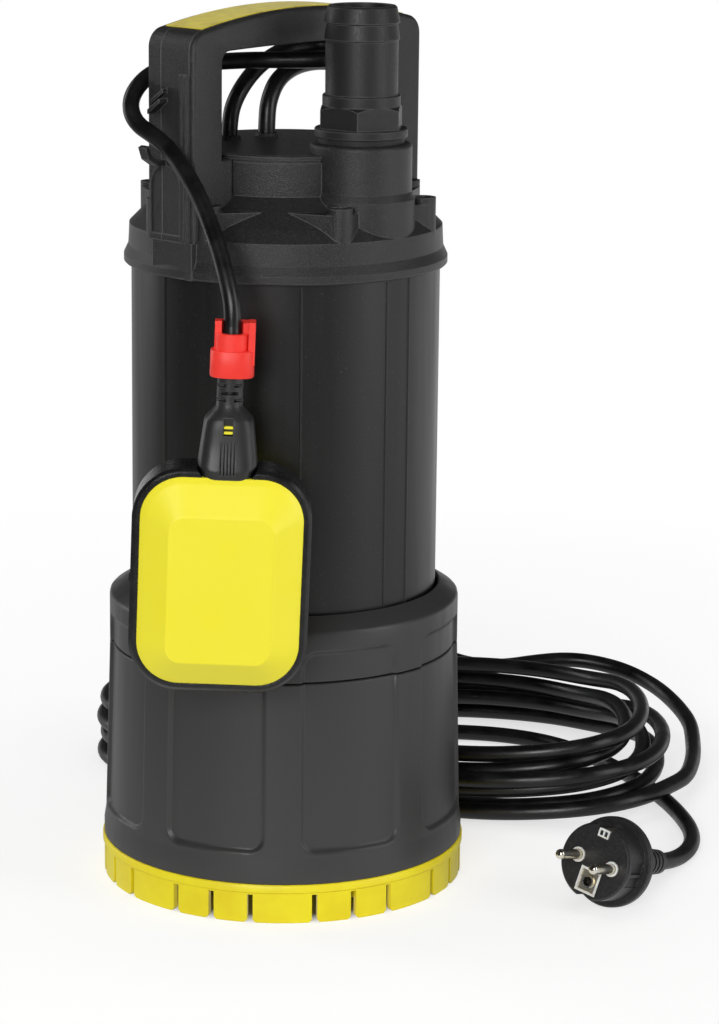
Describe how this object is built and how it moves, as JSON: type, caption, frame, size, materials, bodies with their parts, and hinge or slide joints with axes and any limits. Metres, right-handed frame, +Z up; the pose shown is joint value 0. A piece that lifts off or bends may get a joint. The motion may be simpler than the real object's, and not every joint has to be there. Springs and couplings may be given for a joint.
{
  "type": "submersible sump pump",
  "caption": "Upright submersible sump pump with a slotted strainer base, carrying handle, barbed hose tail, tethered float switch and coiled mains lead with plug.",
  "frame": {"origin": "centre of the strainer base on the floor, on the shaft axis", "axes": "+Z up along the shaft, -Y to the front where the float hangs, +X to the right; the outlet is 45 degrees right of the front"},
  "size_m": [0.3285, 0.3958, 0.4245],
  "materials": {
    "housing_black": "fine moulded texture",
    "shroud_black": "satin moulded",
    "base_yellow": "satin moulded",
    "float_yellow": "smooth moulded",
    "grip_yellow": "satin moulded",
    "float_black": "smooth moulded",
    "clip_red": "satin moulded",
    "cable_rubber": "matte",
    "seal_rubber": "matte",
    "plug_rubber": "satin moulded",
    "plug_white": "satin moulded",
    "nickel_brass": "bright nickel plate",
    "screw_steel": "plain",
    "shaft_steel": "ground",
    "lamination_steel": "stacked laminations, varnished",
    "copper_winding": "enamelled wire",
    "rotor_aluminium": "die cast",
    "can_steel": "drawn stainless steel",
    "end_shield_aluminium": "machined casting",
    "stage_plastic": "moulded",
    "seal_ceramic": "lapped ceramic",
    "seal_carbon": "lapped carbon",
    "bearing_steel": "ground",
    "capacitor_white": "smooth",
    "switch_plastic": "moulded"
  },
  "bodies": {
    "pump": {"strainer_base": "base_yellow", "base_screws": "screw_steel", "lower_shroud": "shroud_black", "shroud_collar": "shroud_black", "suction_cover": "stage_plastic", "stage_casing": "shroud_black", "casing_screws": "screw_steel", "diffusers": "stage_plastic", "seal_seat": "seal_ceramic", "motor_flange": "end_shield_aluminium", "lower_bearing_outer": "bearing_steel", "upper_bearing_outer": "bearing_steel", "motor_can": "can_steel", "motor_top_cap": "end_shield_aluminium", "stator_core": "lamination_steel", "stator_windings": "copper_winding", "capacitor": "capacitor_white", "body_jacket": "shroud_black", "jacket_seal": "seal_rubber", "head_cover": "housing_black", "head_screws": "screw_steel", "deck_lid": "housing_black", "float_gland": "seal_rubber", "mains_gland": "seal_rubber", "hose_tail": "housing_black", "outlet_o_ring": "seal_rubber", "handle_core": "housing_black", "handle_front_shell": "housing_black", "handle_rear_shell": "housing_black", "grip_insert": "grip_yellow", "handle_screws": "screw_steel", "float_cable_upper": "cable_rubber", "mains_cable": "cable_rubber", "mains_coil": "cable_rubber", "plug_lead": "cable_rubber", "plug_body": "plug_rubber", "plug_insert": "plug_white", "plug_pins": "nickel_brass", "plug_contacts": "nickel_brass"},
    "rotor": {"shaft": "shaft_steel", "rotor_core": "rotor_aluminium", "impellers": "stage_plastic", "shaft_sleeves": "shaft_steel", "impeller_nut": "screw_steel", "rotating_seal": "seal_carbon", "lower_bearing_inner": "bearing_steel", "upper_bearing_inner": "bearing_steel"},
    "float_arm": {"float_cable_lower": "cable_rubber"},
    "float": {"cable_clip": "clip_red", "float_neck": "float_black", "float_frame": "float_black", "neck_catches": "float_yellow", "float_front_shell": "float_yellow", "float_rear_shell": "float_yellow", "microswitch": "switch_plastic", "ball_race": "switch_plastic"},
    "switch_ball": {"switch_ball": "bearing_steel"},
    "switch_lever": {"switch_lever": "screw_steel"}
  },
  "joints": [
    {"name": "rotor_spin", "type": "hinge", "parent": "pump", "child": "rotor", "pos_m": [0, 0, 0.19], "axis": [0, 0, 1], "continuous": true},
    {"name": "float_swing", "type": "hinge", "parent": "pump", "child": "float_arm", "pos_m": [-0.05848, -0.05593, 0.3642], "axis": [-1, 0, 0], "range_deg": [0, 80]},
    {"name": "float_tilt", "type": "hinge", "parent": "float_arm", "child": "float", "pos_m": [-0.02351, -0.107, 0.28719], "axis": [-1, 0, 0], "range_deg": [0, 60]},
    {"name": "ball_slide", "type": "slide", "parent": "float", "child": "switch_ball", "axis": [0.0332, 0, 0.9995], "range_m": [0, 0.016]},
    {"name": "lever_turn", "type": "hinge", "parent": "float", "child": "switch_lever", "pos_m": [-0.01474, -0.107, 0.1746], "axis": [0, 1, 0], "range_deg": [0, 12]}
  ],
  "couplings": [
    {"joint": "lever_turn", "follows": "ball_slide", "rad_per_m": 13}
  ]
}
